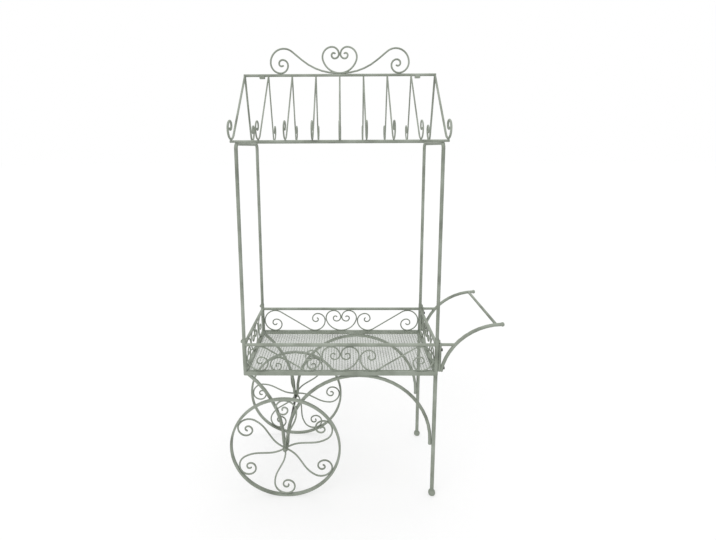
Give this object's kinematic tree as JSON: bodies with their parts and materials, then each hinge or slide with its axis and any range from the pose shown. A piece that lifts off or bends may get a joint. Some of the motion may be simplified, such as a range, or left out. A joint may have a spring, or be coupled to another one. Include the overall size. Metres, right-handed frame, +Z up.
{
  "type": "flower cart stand",
  "caption": "Painted wrought-iron flower cart stand with a scrolled mesh-floored tray, two spoked wheels, two legs, a push handle and an open slatted roof with a heart crest.",
  "frame": {"origin": "on the ground, at the middle of the bounding box of the cart at rest", "axes": "+X along the tray towards the push handle, -Y is the front seen in the picture, +Z up"},
  "size_m": [0.957, 0.3866, 1.5985],
  "materials": {
    "painted_iron": "matt paint, slightly worn",
    "bare_steel": "satin"
  },
  "bodies": {
    "cart_frame": {"tray_base_front": "painted_iron", "tray_rim_front": "painted_iron", "tray_scrolls_front": "painted_iron", "tray_base_rear": "painted_iron", "tray_rim_rear": "painted_iron", "tray_scrolls_rear": "painted_iron", "tray_base_left": "painted_iron", "tray_rim_left": "painted_iron", "tray_scrolls_left": "painted_iron", "tray_base_right": "painted_iron", "tray_rim_right": "painted_iron", "tray_scrolls_right": "painted_iron", "tray_mesh": "painted_iron", "tray_corner_left_front": "painted_iron", "tray_corner_left_rear": "painted_iron", "tray_corner_right_front": "painted_iron", "tray_corner_right_rear": "painted_iron", "post_hoop_left": "painted_iron", "post_hoop_right": "painted_iron", "roof_ridge": "painted_iron", "roof_eave_front": "painted_iron", "roof_eave_rear": "painted_iron", "roof_rafters_front": "painted_iron", "roof_rafters_rear": "painted_iron", "roof_crest": "painted_iron", "ridge_clips": "painted_iron", "leg_front": "painted_iron", "leg_rear": "painted_iron", "feet": "painted_iron", "arch_brace_front": "painted_iron", "arch_brace_rear": "painted_iron", "quarter_brace_front": "painted_iron", "quarter_brace_rear": "painted_iron", "axle": "bare_steel", "axle_bosses": "painted_iron", "axle_washers": "bare_steel", "axle_cap_nuts": "bare_steel", "handle_arm_front": "painted_iron", "handle_arm_rear": "painted_iron", "handle_brackets": "painted_iron", "handle_struts": "painted_iron", "handle_grip": "painted_iron", "handle_knobs": "painted_iron", "post_screws": "bare_steel", "handle_screws": "bare_steel"},
    "front_wheel": {"front_wheel_rim": "painted_iron", "front_wheel_hub": "painted_iron", "front_wheel_spokes": "painted_iron"},
    "rear_wheel": {"rear_wheel_rim": "painted_iron", "rear_wheel_hub": "painted_iron", "rear_wheel_spokes": "painted_iron"}
  },
  "joints": [
    {"name": "front_wheel_spin", "type": "hinge", "parent": "cart_frame", "child": "front_wheel", "pos_m": [-0.27849, -0.173, 0.2], "axis": [0, 1, 0], "continuous": true},
    {"name": "rear_wheel_spin", "type": "hinge", "parent": "cart_frame", "child": "rear_wheel", "pos_m": [-0.27849, 0.173, 0.2], "axis": [0, 1, 0], "continuous": true}
  ]
}
